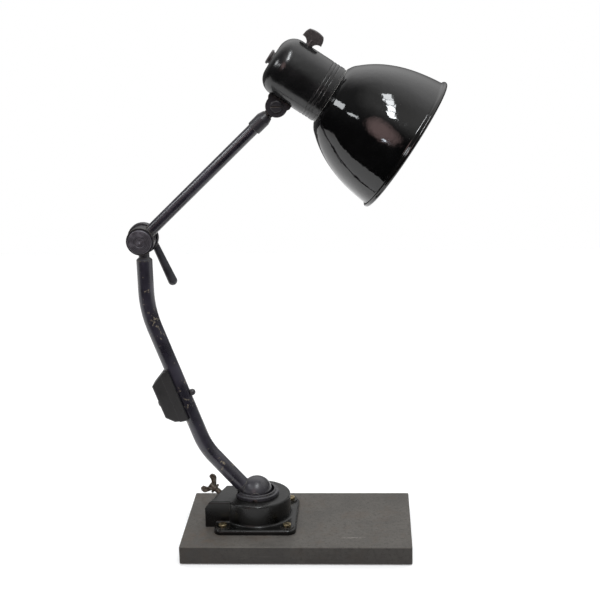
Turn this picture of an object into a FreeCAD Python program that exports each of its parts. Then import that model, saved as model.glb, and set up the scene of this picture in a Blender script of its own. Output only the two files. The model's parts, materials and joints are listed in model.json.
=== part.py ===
"""Jointed desk lamp on a steel slab: cast swivel bracket, two tube arms, friction elbow and spun shade.

Millimetres. The origin is the centre of the slab's underside, +Z is up, +X points to the shade's side
and the arms lie in a plane parallel to XZ.
"""
import FreeCAD, Part
import math
import os
import re
import Sketcher

Vec = FreeCAD.Vector
X_AXIS, Y_AXIS, Z_AXIS = Vec(1, 0, 0), Vec(0, 1, 0), Vec(0, 0, 1)

SIZES = {
    # slab and felt
    "through_cut": 80, "slab_length": 250, "slab_depth": 140, "slab_thick": 20, "slab_chamfer": 0.8,
    "felt_thick": 1, "felt_inset": 3,
    # cast bracket
    "bracket_x": -46, "bracket_y": 3, "flange_size": 90, "flange_thick": 5.5, "flange_corner": 9,
    "drum_radius": 37.5, "drum_height": 30, "drum_wall": 5, "drum_roof": 6, "drum_edge": 2.4,
    "root_fillet": 2.6,
    "ear_spacing": 70.6, "ear_radius": 7.6, "ear_rise": 1.6,
    "lug_reach": 56, "lug_front": 24, "lug_back": 22,
    "bracket_screw_radius": 2.4, "bracket_screw_head": 4.6, "bracket_screw_head_thick": 2.6,
    "bracket_screw_depth": 12, "screw_clearance": 0.15,
    # clamp screw that brakes the swivel
    "clamp_azimuth": 18, "clamp_slope": 35, "clamp_height": 11, "clamp_radius": 3, "clamp_face": 22.5,
    "shoe_thick": 4, "shoe_height": 10, "shoe_half_angle": 20, "shoe_gap": 1.1,
    "wing_out": 6, "wing_span": 12.5, "wing_thick": 3.6,
    # swivel collar and knuckle
    "journal_radius": 22, "running_gap": 0.05, "close_gap": 0.03, "collar_bore": 19.6, "collar_foot": 6,
    "ring_radius": 24.5, "ring_thick": 3.8, "lip_radius": 21.2, "lip_rise": 1.6, "collar_lift": 0.2,
    "slot_half_width": 9.8, "slot_floor": 27, "keeper_radius": 27, "keeper_thick": 3,
    "tilt_height": 30, "tilt_pin_radius": 3, "ball_radius": 17, "ball_rise": 3.1,
    "boss_radius": 9.2, "boss_offset": 5.2, "boss_end": 19, "hub_radius": 7, "hub_reach": 17.3,
    # lower arm
    "tube_radius": 8.6, "tube_wall": 1.8, "spigot_step": 1.6, "spigot_wall": 1.6, "spigot_length": 12,
    "lean_low": 41, "lean_mid": 19.6, "lean_top": 0, "run_low": 78.3, "run_mid": 168, "run_top": 77,
    "bend_low": 75, "bend_mid": 125, "tube_top_gap": 21.5,
    # terminal box on the lower tube
    "box_along": 64.7, "box_width": 24, "box_wall": 2, "box_reach": 26.3, "box_split": 12.5,
    "box_up": 23.3, "box_down": 15, "box_bolt_radius": 2, "box_corner": 2.5,
    "box_slope": 8, "box_bolt_head": 3.2,
    "inlet_radius": 3.5, "grommet_radius": 4.6, "grommet_length": 9, "grommet_proud": 1.6,
    # elbow
    "elbow_shift": 2.2, "disc_radius": 14.8, "disc_thick": 7.6, "disc_gap": 1.2, "washer_thick": 1,
    "cap_radius": 12.8, "cap_thick": 3, "recess_radius": 6.2, "elbow_bolt_radius": 4,
    "bolt_head_radius": 6.3, "bolt_head_thick": 3.3, "neck_radius": 5.75,
    "lever_hub_radius": 16.6, "lever_hub_thick": 7, "lever_offset": 8.5, "lever_lean": 22.6,
    "lever_length": 55.6, "lever_root_radius": 3.6, "lever_tip_radius": 5, "lever_set_back": 13.6,
    # upper arm
    "arm_rise": 43.2, "arm_length": 204, "rod_radius": 6.25, "rod_wall": 1.3, "rod_gap": 2.2,
    "ferrule_start": 170, "ferrule_length": 14, "ferrule_taper": 6, "ferrule_radius": 7.75,
    "ferrule_nose": 5.8, "swivel_radius": 4,
    # head hinge
    "hinge_drop": 37.8, "hinge_back": 29.3, "hinge_pin": 2.5, "tongue_thick": 7.2, "tongue_radius": 5.2,
    "fork_ear": 4, "fork_half": 13, "fork_end": 11.5, "fork_slot_top": 32.3, "hinge_head": 6.5,
    "rivet_radius": 1.6, "rivet_spacing": 16,
    # lamp head
    "head_dip": 33.9, "housing_radius": 31, "housing_length": 70.1, "housing_wall": 1.3,
    "housing_round": 17, "groove_first": 54.9, "groove_pitch": 3.6, "groove_radius": 1.1,
    "plug_radius": 7.9, "plug_proud": 4.4, "plug_hole": 4.2,
    "key_back": 24.4, "key_stem": 3.75, "key_half": 11, "key_height": 14.6, "key_thick": 7,
    "switch_radius": 10, "switch_depth": 15,
    # lampholder and bulb
    "holder_radius": 19, "holder_start": 36, "holder_end": 66, "thread_radius": 13, "shell_wall": 0.6,
    "bulb_radius": 30, "bulb_end": 145, "bulb_neck": 15, "glass_wall": 0.9, "carrier_thick": 3,
    # shade
    "shade_length": 93.5, "shade_wall": 1, "neck_step": 0.8, "shade_mouth": 72.6,
    "rim_radius": 2.3, "rim_proud": 2.4,
    "sleeve_gap": 0.15, "sleeve_length": 8,
}

os.makedirs("parts", exist_ok=True)
doc = FreeCAD.newDocument("desk_lamp")
sheet = doc.addObject("Spreadsheet::Sheet", "size")
for row, (alias, value) in enumerate(SIZES.items(), start=1):
    sheet.set(f"A{row}", alias)
    sheet.set(f"B{row}", str(value))
    sheet.setAlias(f"B{row}", alias)
doc.recompute()


# ---------------------------------------------------------------- helpers
def bound(text):
    """Expression with every size name pointed at the sheet."""
    return re.sub(r"[a-z_]\w*", lambda word: "size." + word[0] if word[0] in SIZES else word[0], str(text))


def number(text):
    """Value of an expression made of size names."""
    return float(sheet.evalExpression(bound(text)))


def frame(x, y, z, rotation=FreeCAD.Rotation()):
    return FreeCAD.Placement(Vec(number(x), number(y), number(z)), rotation)


def about(axis, angle):
    return FreeCAD.Rotation(axis, number(angle))


def set_label(thing, label, placement):
    thing.Label = label
    thing.Placement = placement
    return thing


def new_body(label, placement):
    return set_label(doc.addObject("PartDesign::Body", label), label, placement)


def new_sketch(body, plane, offset=None):
    """Sketch on one of the body's origin planes, moved by an offset placement in that plane's own frame."""
    sketch = body.newObject("Sketcher::SketchObject", body.Label + "_sketch")
    support = next(item for item in body.Origin.OriginFeatures if item.Role == plane + "_Plane")
    sketch.AttachmentSupport = [(support, "")]
    sketch.MapMode = "FlatFace"
    if offset is not None:
        sketch.AttachmentOffset = offset
    return sketch


def fix(sketch, kind, vertex, text):
    """Bind one coordinate of a sketch vertex to an expression, or put it on the axis when it is zero."""
    geometry, end = vertex
    if str(text) == "0":
        line = -2 if kind == "DistanceX" else -1
        sketch.addConstraint(Sketcher.Constraint("PointOnObject", geometry, end, line))
        return
    index = sketch.addConstraint(Sketcher.Constraint(kind, -1, 1, geometry, end, number(text)))
    sketch.setExpression(f"Constraints[{index}]", bound(text))


def arc_between(start, end, radius):
    """Arc from start to end; it turns left when the radius is positive and right when negative."""
    chord = end - start
    half = chord.Length / 2
    rise = math.sqrt(max(radius * radius - half * half, 0)) * math.copysign(1, radius)
    left = Vec(-chord.y, chord.x, 0).normalize()
    centre = start + chord * 0.5 + left * rise
    first, last = (start, end) if radius > 0 else (end, start)
    angles = [math.atan2(point.y - centre.y, point.x - centre.x) for point in (first, last)]
    return Part.ArcOfCircle(Part.Circle(centre, Z_AXIS, abs(radius)), angles[0], angles[1])


def draw(sketch, points, closed=True):
    """Outline through (x, y) or (x, y, radius) points; a radius bends the run to the next point."""
    count = len(points)
    spots = [Vec(number(point[0]), number(point[1]), 0) for point in points]
    base = sketch.GeometryCount
    runs = count if closed else count - 1
    ends = []
    for index in range(runs):
        start, end = spots[index], spots[(index + 1) % count]
        if len(points[index]) == 3:
            radius = number(points[index][2])
            sketch.addGeometry(arc_between(start, end, radius), False)
            ends.append((1, 2) if radius > 0 else (2, 1))
        else:
            sketch.addGeometry(Part.LineSegment(start, end), False)
            ends.append((1, 2))
    for index in range(count if closed else count - 1):
        fix(sketch, "DistanceX", (base + index, ends[index][0]), points[index][0])
        fix(sketch, "DistanceY", (base + index, ends[index][0]), points[index][1])
    if not closed:
        fix(sketch, "DistanceX", (base + runs - 1, ends[-1][1]), points[-1][0])
        fix(sketch, "DistanceY", (base + runs - 1, ends[-1][1]), points[-1][1])
    for index in range(runs if closed else runs - 1):
        after = (index + 1) % runs
        sketch.addConstraint(Sketcher.Constraint("Coincident", base + index, ends[index][1],
                                                 base + after, ends[after][0]))
    for index in range(runs):
        if len(points[index]) == 3:
            radius = sketch.addConstraint(Sketcher.Constraint("Radius", base + index,
                                                              abs(number(points[index][2]))))
            sketch.setExpression(f"Constraints[{radius}]", f"abs({bound(points[index][2])})")
    return sketch


def circle(sketch, x, y, radius):
    """Circle bound to its centre and radius."""
    index = sketch.GeometryCount
    sketch.addGeometry(Part.Circle(Vec(number(x), number(y), 0), Z_AXIS, number(radius)), False)
    fix(sketch, "DistanceX", (index, 3), x)
    fix(sketch, "DistanceY", (index, 3), y)
    limit = sketch.addConstraint(Sketcher.Constraint("Radius", index, number(radius)))
    sketch.setExpression(f"Constraints[{limit}]", bound(radius))
    return sketch


def feature(body, kind, sketch, length=None, both=False, back=False):
    """Pad, Pocket, Revolution or Groove made from one sketch."""
    made = body.newObject("PartDesign::" + kind, f"{body.Label}_{kind}")
    made.Profile = sketch
    if kind in ("Revolution", "Groove"):
        made.ReferenceAxis = (sketch, ["V_Axis"])
        made.Angle = 360
    else:
        made.setExpression("Length", bound(length))
        made.SideType = "Symmetric" if both else "One side"
        made.Reversed = back
    sketch.Visibility = False
    return made


def pad(body, sketch, length, both=False, back=False):
    return feature(body, "Pad", sketch, length, both, back)


def pocket(body, sketch, length, both=False, back=False):
    """Cut, with a check that it took material away."""
    before = body.Tip.Shape.Volume if body.Tip and not body.Tip.Shape.isNull() else 0
    made = feature(body, "Pocket", sketch, length, both, back)
    doc.recompute()
    if made.Shape.isNull() or made.Shape.Volume > before - 0.01:
        raise ValueError(f"{body.Label}: a pocket cuts nothing")
    return made


def bore_through(body, plane, x, y, radius):
    """Round hole right through the body, normal to one of its origin planes."""
    pocket(body, circle(new_sketch(body, plane), x, y, radius), "through_cut", both=True)


def turned(label, placement, points):
    """Body turned about its own Z axis from an outline of (radius, height) points."""
    body = new_body(label, placement)
    feature(body, "Revolution", draw(new_sketch(body, "XZ"), points))
    doc.recompute()
    return body


def tube_outline(inner, outer, low, high):
    return [(inner, low), (outer, low), (outer, high), (inner, high)]


def rounded_rectangle(width, depth, corner):
    """Outline centred on the sketch's origin."""
    x, y = f"({width}) / 2", f"({depth}) / 2"
    return [(f"{x} - {corner}", f"-{y}", corner), (x, f"-{y} + {corner}"), (x, f"{y} - {corner}", corner),
            (f"{x} - {corner}", y), (f"-{x} + {corner}", y, corner), (f"-{x}", f"{y} - {corner}"),
            (f"-{x}", f"-{y} + {corner}", corner), (f"-{x} + {corner}", f"-{y}")]


def dress(body, kind, size, test):
    """Fillet or Chamfer on the tip's edges whose middle point passes a test."""
    doc.recompute()
    tip = body.Tip
    names = [f"Edge{index}" for index, edge in enumerate(tip.Shape.Edges, start=1)
             if test(edge.valueAt((edge.FirstParameter + edge.LastParameter) / 2), edge)]
    if not names:
        raise ValueError(f"{body.Label}: no edge to dress")
    made = body.newObject("PartDesign::" + kind, f"{body.Label}_{kind}")
    made.Base = (tip, names)
    made.setExpression("Radius" if kind == "Fillet" else "Size", bound(size))
    doc.recompute()
    return made


def loose(label, placement, shape):
    """Part::Feature for a group of like pieces, its shape worked out from the sheet's values."""
    thing = doc.addObject("Part::Feature", label)
    thing.Shape = shape
    return set_label(thing, label, placement)


# ---------------------------------------------------------------- frames of the lamp
FACE_VIEWER = about(X_AXIS, 90)
BRACKET = frame("bracket_x", "bracket_y", "felt_thick + slab_thick")
EARS = [(sx, sy) for sx in (-1, 1) for sy in (-1, 1)]


def arm_point(start, lean, length):
    """Point reached from start by a run that leans to -X from the vertical."""
    angle = math.radians(number(lean))
    return start + Vec(-math.sin(angle), 0, math.cos(angle)) * number(length)


TILT = BRACKET.multVec(Vec(0, 0, number("tilt_height")))
LOW_TURN = about(Y_AXIS, "-lean_low")
TUBE_FOOT = TILT - LOW_TURN.multVec(Vec(number("boss_offset"), 0, 0))
BEND_LOW = arm_point(TUBE_FOOT, "lean_low", "run_low")
BEND_MID = arm_point(BEND_LOW, "lean_mid", "run_mid")
TUBE_HEAD = arm_point(BEND_MID, "lean_top", "run_top")
ELBOW = TUBE_HEAD - Vec(number("elbow_shift"), 0, 0)
ARM_TURN = about(Y_AXIS, "90 - arm_rise")
HINGE = ELBOW + ARM_TURN.multVec(Vec(0, 0, number("arm_length")))
HEAD_TURN = about(Y_AXIS, "90 + head_dip")
HEAD = FreeCAD.Placement(
    HINGE - HEAD_TURN.multVec(Vec(number("hinge_drop"), 0, number("hinge_back"))), HEAD_TURN)
LOWER = FreeCAD.Placement(TILT, LOW_TURN)
ARM = FreeCAD.Placement(ELBOW, ARM_TURN)
BOX = FreeCAD.Placement(arm_point(BEND_LOW, "lean_mid", "box_along"), about(Y_AXIS, "-lean_mid"))


# ---------------------------------------------------------------- base
def make_felt():
    body = new_body("felt_pad", frame(0, 0, 0))
    pad(body, draw(new_sketch(body, "XY"), rounded_rectangle(
        "slab_length - 2 * felt_inset", "slab_depth - 2 * felt_inset", "felt_inset")), "felt_thick")


def make_slab():
    """Flat bar with four tapped holes for the bracket."""
    body = new_body("base_slab", frame(0, 0, "felt_thick"))
    pad(body, draw(new_sketch(body, "XY"), [
        ("-slab_length / 2", "-slab_depth / 2"), ("slab_length / 2", "-slab_depth / 2"),
        ("slab_length / 2", "slab_depth / 2"), ("-slab_length / 2", "slab_depth / 2")]), "slab_thick")
    dress(body, "Chamfer", "slab_chamfer", lambda middle, edge: True)
    holes = new_sketch(body, "XY", frame(0, 0, "slab_thick"))
    for sx, sy in EARS:
        circle(holes, f"bracket_x + {sx} * ear_spacing / 2", f"bracket_y + {sy} * ear_spacing / 2",
               "bracket_screw_radius + screw_clearance / 2")
    pocket(body, holes, "bracket_screw_depth + 2")


def clamp_frame(distance="0"):
    """Frame on the clamp screw's axis, Z pointing out of the casting; the shoe is at distance zero."""
    turn = about(Z_AXIS, "-clamp_azimuth") * about(Y_AXIS, "clamp_slope - 90")
    azimuth = FreeCAD.Placement(Vec(), about(Z_AXIS, "-clamp_azimuth"))
    start = azimuth.multVec(Vec(-number("journal_radius + shoe_thick + 0.6"), 0, number("clamp_height")))
    return FreeCAD.Placement(start + turn.multVec(Vec(0, 0, number(distance))), turn)


def make_bracket():
    """Iron casting: square flange, hollow drum, and a lug for the clamp screw."""
    body = new_body("bracket_housing", BRACKET)
    pad(body, draw(new_sketch(body, "XY"), rounded_rectangle(
        "flange_size", "flange_size", "flange_corner")), "flange_thick")
    pad(body, circle(new_sketch(body, "XY"), "0", "0", "drum_radius"), "drum_height")
    lug = draw(new_sketch(body, "XZ", frame(0, 0, "-lug_back")), [
        ("-lug_reach", "0"), ("-20", "0"), ("-20", "drum_height"), ("-lug_reach", "drum_height")])
    pad(body, lug, "lug_front + lug_back")
    doc.recompute()
    slope = circle(new_sketch(body, "XY", clamp_frame("clamp_face")), "0", "0", "lug_reach")
    pocket(body, slope, "lug_reach", back=True)
    dress(body, "Fillet", "root_fillet", lambda middle, edge: abs(middle.z - number("flange_thick")) < 0.01
          and max(abs(middle.x), abs(middle.y)) < number("flange_size / 2") - 0.1)
    dress(body, "Fillet", "drum_edge", lambda middle, edge: abs(middle.z - number("drum_height")) < 0.01)
    ears = new_sketch(body, "XY")
    for sx, sy in EARS:
        circle(ears, f"{sx} * ear_spacing / 2", f"{sy} * ear_spacing / 2", "ear_radius")
    pad(body, ears, "flange_thick + ear_rise")
    hollow = circle(new_sketch(body, "XY"), "0", "0", "drum_radius - drum_wall")
    doc.recompute()
    pocket(body, hollow, "drum_height - drum_roof", back=True)
    mouth = circle(new_sketch(body, "XY"), "0", "0", "journal_radius + running_gap")
    pocket(body, mouth, "drum_height + 1", back=True)
    thread = circle(
        new_sketch(body, "XY", clamp_frame("clamp_face + 1")), "0", "0", "clamp_radius + running_gap")
    pocket(body, thread, "clamp_face")
    holes = new_sketch(body, "XY")
    for sx, sy in EARS:
        circle(holes, f"{sx} * ear_spacing / 2", f"{sy} * ear_spacing / 2",
               "bracket_screw_radius + screw_clearance")
    pocket(body, holes, "drum_height", back=True)


def make_bracket_screws():
    """Four slotted cheese-head screws."""
    seat = number("flange_thick + ear_rise")
    head = Part.makeCylinder(
        number("bracket_screw_head"), number("bracket_screw_head_thick"), Vec(0, 0, seat))
    rounded = head.makeFillet(0.7, [edge for edge in head.Edges
                                    if edge.BoundBox.ZMin > seat + 0.5 and len(edge.Vertexes) == 1])
    shank = Part.makeCylinder(number("bracket_screw_radius"), seat + number("bracket_screw_depth"),
                              Vec(0, 0, -number("bracket_screw_depth")))
    width = number("bracket_screw_head")
    slot = Part.makeBox(2.2 * width, 1.1, 1.4, Vec(-1.1 * width, -0.55, seat + 1.4))
    turns = (20, 75, 130, -35)
    screws = []
    for (sx, sy), angle in zip(EARS, turns):
        screw = rounded.fuse(shank).cut(slot).removeSplitter()
        screw.Placement = frame(
            f"{sx} * ear_spacing / 2", f"{sy} * ear_spacing / 2", 0, about(Z_AXIS, angle))
        screws.append(screw)
    loose("bracket_screws", BRACKET, Part.makeCompound(screws))


def make_clamp():
    """Brake shoe against the collar's skirt and the wing screw that presses it."""
    azimuth = FreeCAD.Placement(Vec(), about(Z_AXIS, "180 - clamp_azimuth"))
    shoe = new_body("brake_shoe", BRACKET * azimuth)
    near, far = "(journal_radius + 0.3)", "(journal_radius + shoe_thick)"
    swing = "shoe_half_angle * 1deg"
    outline = [(f"{near} * cos({swing})", f"{near} * sin({swing})", f"-{near}"),
               (f"{near} * cos({swing})", f"-{near} * sin({swing})"),
               (f"{far} * cos({swing})", f"-{far} * sin({swing})", far),
               (f"{far} * cos({swing})", f"{far} * sin({swing})")]
    bottom = frame(0, 0, "clamp_height - shoe_height / 2")
    pad(shoe, draw(new_sketch(shoe, "XY", bottom), outline), "shoe_height")
    root = "(clamp_face + wing_out)"
    screw = turned("wing_screw", BRACKET * clamp_frame(), [
        ("0", "shoe_gap"), ("clamp_radius - 1", "shoe_gap"), ("clamp_radius", "shoe_gap + 1.6"),
        ("clamp_radius", f"{root} + 1"), ("6", f"{root} + 1"), ("6", f"{root} + 2.8"),
        ("4.4", f"{root} + 3.6"), ("4.4", f"{root} + 8.4"), ("3.4", f"{root} + 9.4"),
        ("0", f"{root} + 9.4")])
    wings = draw(new_sketch(screw, "XZ"), [
        ("-3", f"{root} + 3.2"), ("3", f"{root} + 3.2"), ("wing_span - 2.4", f"{root} + 7.4", "4.4"),
        ("wing_span - 0.8", f"{root} + 14.6", "2.1"), ("wing_span - 4.6", f"{root} + 14", "-7"),
        ("3", f"{root} + 8.6"), ("-3", f"{root} + 8.6", "-7"),
        ("-wing_span + 4.6", f"{root} + 14", "2.1"), ("-wing_span + 0.8", f"{root} + 14.6", "4.4"),
        ("-wing_span + 2.4", f"{root} + 7.4")])
    pad(screw, wings, "wing_thick", both=True)


# ---------------------------------------------------------------- swivel and knuckle
def make_collar():
    """Turned collar that swivels in the drum, slotted on the arm's side."""
    ring = "(drum_height + collar_lift + ring_thick)"
    body = turned("swivel_collar", BRACKET, [
        ("collar_bore", "collar_foot"), ("journal_radius", "collar_foot"),
        ("journal_radius", "drum_height + collar_lift"), ("ring_radius", "drum_height + collar_lift"),
        ("ring_radius", f"{ring} - 1", "1"), ("ring_radius - 1", ring), ("lip_radius", ring),
        ("lip_radius", f"{ring} + lip_rise - 0.8", "0.8"), ("lip_radius - 0.8", f"{ring} + lip_rise"),
        ("collar_bore", f"{ring} + lip_rise")])
    slot = draw(new_sketch(body, "XY", frame(0, 0, "slot_floor")), [
        ("-ring_radius - 5", "-slot_half_width"), ("-5", "-slot_half_width"),
        ("-5", "slot_half_width"), ("-ring_radius - 5", "slot_half_width")])
    pocket(body, slot, "drum_height", back=True)
    cross = circle(new_sketch(body, "XZ"), "0", "tilt_height", "tilt_pin_radius + close_gap")
    pocket(body, cross, "through_cut", both=True)
    turned("collar_keeper", BRACKET, tube_outline(
        "journal_radius + close_gap", "keeper_radius", "drum_height - drum_roof - keeper_thick - 0.3",
        "drum_height - drum_roof - 0.3"))
    turned("tilt_pin", FreeCAD.Placement(TILT, FACE_VIEWER), [
        ("0", "0.3 - journal_radius"), ("tilt_pin_radius", "0.3 - journal_radius"),
        ("tilt_pin_radius", "journal_radius - 0.3"), ("0", "journal_radius - 0.3")])


def primitive(kind, label, placement, **sizes):
    """Part primitive with its sizes bound to the sheet."""
    thing = doc.addObject("Part::" + kind, label)
    for name, text in sizes.items():
        thing.setExpression(name, bound(text))
    thing.Placement = placement
    return thing


def make_knuckle():
    """Domed knuckle on the tilt pin, with the boss that takes the lower tube."""
    lean = math.radians(number("lean_low"))
    rise = number("ball_rise")
    dome = primitive("Sphere", "knuckle_dome", FreeCAD.Placement(
        Vec(math.sin(lean) * rise, 0, math.cos(lean) * rise), FreeCAD.Rotation()), Radius="ball_radius")
    boss = primitive("Cylinder", "knuckle_boss", frame("-boss_offset", 0, -2), Radius="boss_radius",
                     Height="boss_end + 2")
    hub = primitive("Cylinder", "knuckle_hub", frame(0, "hub_reach", 0, FACE_VIEWER),
                    Radius="hub_radius", Height="2 * hub_reach")
    solid = doc.addObject("Part::MultiFuse", "knuckle_solid")
    solid.Shapes = [dome, boss, hub]
    solid.Refine = True
    socket = primitive("Cylinder", "knuckle_socket",
                       frame("-boss_offset", 0, "boss_end - spigot_length - 0.5"),
                       Radius="tube_radius - spigot_step + close_gap", Height="spigot_length + 5")
    seat = primitive("Cylinder", "knuckle_seat", frame("-boss_offset", 0, "boss_end"),
                     Radius="tube_radius + running_gap", Height="boss_end")
    passage = primitive("Cylinder", "knuckle_passage", frame("-boss_offset - 1", 0, -30),
                        Radius="2.2", Height="45")
    cross = primitive("Cylinder", "knuckle_cross", frame(0, 40, 0, FACE_VIEWER),
                      Radius="tilt_pin_radius + running_gap", Height="80")
    holes = doc.addObject("Part::MultiFuse", "knuckle_holes")
    holes.Shapes = [socket, seat, passage, cross]
    knuckle = doc.addObject("Part::Cut", "ball_knuckle")
    knuckle.Base, knuckle.Tool = solid, holes
    set_label(knuckle, "ball_knuckle", LOWER)


# ---------------------------------------------------------------- lower arm
def bend_run(start, heading, turn, radius):
    """Point after an arc to the right, for a path heading measured from the sketch's vertical."""
    across = f"{radius} * (cos(({heading}) * 1deg) - cos(({heading} + {turn}) * 1deg))"
    along = f"{radius} * (sin(({heading} + {turn}) * 1deg) - sin(({heading}) * 1deg))"
    return f"{start[0]} + {across}", f"{start[1]} + {along}"


def straight_run(start, heading, length):
    return (f"{start[0]} + ({length}) * sin(({heading}) * 1deg)",
            f"{start[1]} + ({length}) * cos(({heading}) * 1deg)")


def make_lower_tube():
    """Steel tube with two bends, drawn along its own foot and swept as a ring."""
    seat = FreeCAD.Placement(TUBE_FOOT + LOW_TURN.multVec(Vec(0, 0, number("boss_end"))), LOW_TURN)
    body = new_body("lower_tube", seat)
    turn_low, turn_mid = "(lean_low - lean_mid)", "(lean_mid - lean_top)"
    cut_low = f"bend_low * tan({turn_low} * 0.5deg)"
    cut_mid = f"bend_mid * tan({turn_mid} * 0.5deg)"
    foot = ("0", f"(run_low - boss_end - {cut_low})")
    after_low = bend_run(foot, "0", turn_low, "bend_low")
    before_mid = straight_run(after_low, turn_low, f"run_mid - {cut_low} - {cut_mid}")
    after_mid = bend_run(before_mid, turn_low, turn_mid, "bend_mid")
    top = straight_run(after_mid, "lean_low - lean_top", f"run_top - {cut_mid} - tube_top_gap")
    corners = [("0", "0"), foot + ("-bend_low",), after_low, before_mid + ("-bend_mid",), after_mid, top]
    path = draw(new_sketch(body, "XZ"), corners, closed=False)
    ring = new_sketch(body, "XY")
    circle(ring, "0", "0", "tube_radius")
    circle(ring, "0", "0", "tube_radius - tube_wall")
    pipe = body.newObject("PartDesign::AdditivePipe", "lower_tube_pipe")
    pipe.Profile = ring
    pipe.Spine = (path, [f"Edge{index}" for index in range(1, 6)])
    pipe.Mode = "Frenet"
    spigot = new_sketch(body, "XY")
    circle(spigot, "0", "0", "tube_radius - spigot_step")
    circle(spigot, "0", "0", "tube_radius - spigot_step - spigot_wall")
    pad(body, spigot, "spigot_length", back=True)
    doc.recompute()
    bolt = seat.inverse() * BOX * FreeCAD.Placement(Vec(-20, 0, 0), about(Y_AXIS, "90"))
    hole = circle(new_sketch(body, "XY", bolt), "0", "0", "box_bolt_radius + running_gap")
    pocket(body, hole, "40", back=True)


def make_box():
    """Two-piece terminal box that saddles the tube, with its block, grommet and through bolt."""
    base = new_body("terminal_box", BOX)
    pad(base, draw(new_sketch(base, "XZ"), [
        ("-box_split", "-box_down - 9.5"), ("-3", "-box_down - 10.7"), ("-3", "box_up + 11"),
        ("-8.6", "box_up + 11"), ("-box_split", "box_up + 8.6")]), "box_width", both=True)
    doc.recompute()
    bore_through(base, "XY", "0", "0", "tube_radius + running_gap")
    bore_through(base, "YZ", "0", "0", "box_bolt_radius + running_gap")
    cover = new_body("terminal_box_cover", BOX)
    pad(cover, draw(new_sketch(cover, "XZ"), [
        ("-box_reach", "box_up"), ("-box_reach", "-box_down"),
        ("-box_reach + box_slope", "-box_down - box_slope"),
        ("-box_split", "-box_down - 9.5"), ("-box_split", "box_up + 8.6")]), "box_width", both=True)
    dress(cover, "Fillet", "box_corner", lambda middle, edge:
          abs(abs(middle.y) - number("box_width / 2")) < 0.01 and middle.x < -number("box_split") - 0.5)
    inside = draw(new_sketch(cover, "XZ"), [
        ("-box_reach + box_wall", "box_up - 1"), ("-box_reach + box_wall", "-box_down + 1"),
        ("-box_reach + box_slope + 0.6", "-box_down - box_slope + 2.2"), ("-box_split + 1", "-box_down - 7"),
        ("-box_split + 1", "box_up + 5.6")])
    pocket(cover, inside, "box_width - 2 * box_wall", both=True)
    inlet = frame("-box_reach + box_slope / 2", 0, "-box_down - box_slope / 2", about(Y_AXIS, 45))
    hole = circle(new_sketch(cover, "XY", inlet), "0", "0", "grommet_radius + close_gap")
    pocket(cover, hole, "grommet_length", both=True)
    bore_through(cover, "YZ", "0", "0", "box_bolt_radius + running_gap")
    along_bolt = BOX * FreeCAD.Placement(Vec(), about(Y_AXIS, "90"))
    turned("box_bolt", along_bolt, [
        ("0", "-box_reach - box_bolt_head"), ("2.6", "-box_reach - box_bolt_head"),
        ("4.5", "-box_reach - box_bolt_head + 1.2"), ("4.5", "-box_reach - running_gap"),
        ("box_bolt_radius", "-box_reach - running_gap"),
        ("box_bolt_radius", "12"), ("0", "12")])
    turned("box_cap_nut", along_bolt, [
        ("box_bolt_radius + close_gap", "tube_radius + 0.1"), ("3.6", "tube_radius + 0.1"),
        ("3.6", "tube_radius + 2.4"), ("2.9", "tube_radius + 4.1"), ("1.5", "tube_radius + 5"),
        ("0", "tube_radius + 5.2"), ("0", "12.1"),
        ("box_bolt_radius + close_gap", "12.1")])
    inner = "(grommet_length - grommet_proud)"
    turned("cable_grommet", BOX * inlet, [
        ("inlet_radius", "-grommet_proud"), ("grommet_radius - 0.6", "-grommet_proud"),
        ("grommet_radius", "-grommet_proud + 0.6"), ("grommet_radius", inner), ("inlet_radius", inner)])
    block = new_body("terminal_block", BOX)
    pad(block, draw(new_sketch(block, "XZ"), [
        ("-box_reach + box_wall + 1", "4"), ("-box_split - 1", "4"), ("-box_split - 1", "box_up - 3"),
        ("-box_reach + box_wall + 1", "box_up - 3")]), "box_width - 2 * box_wall - 4", both=True)


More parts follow.
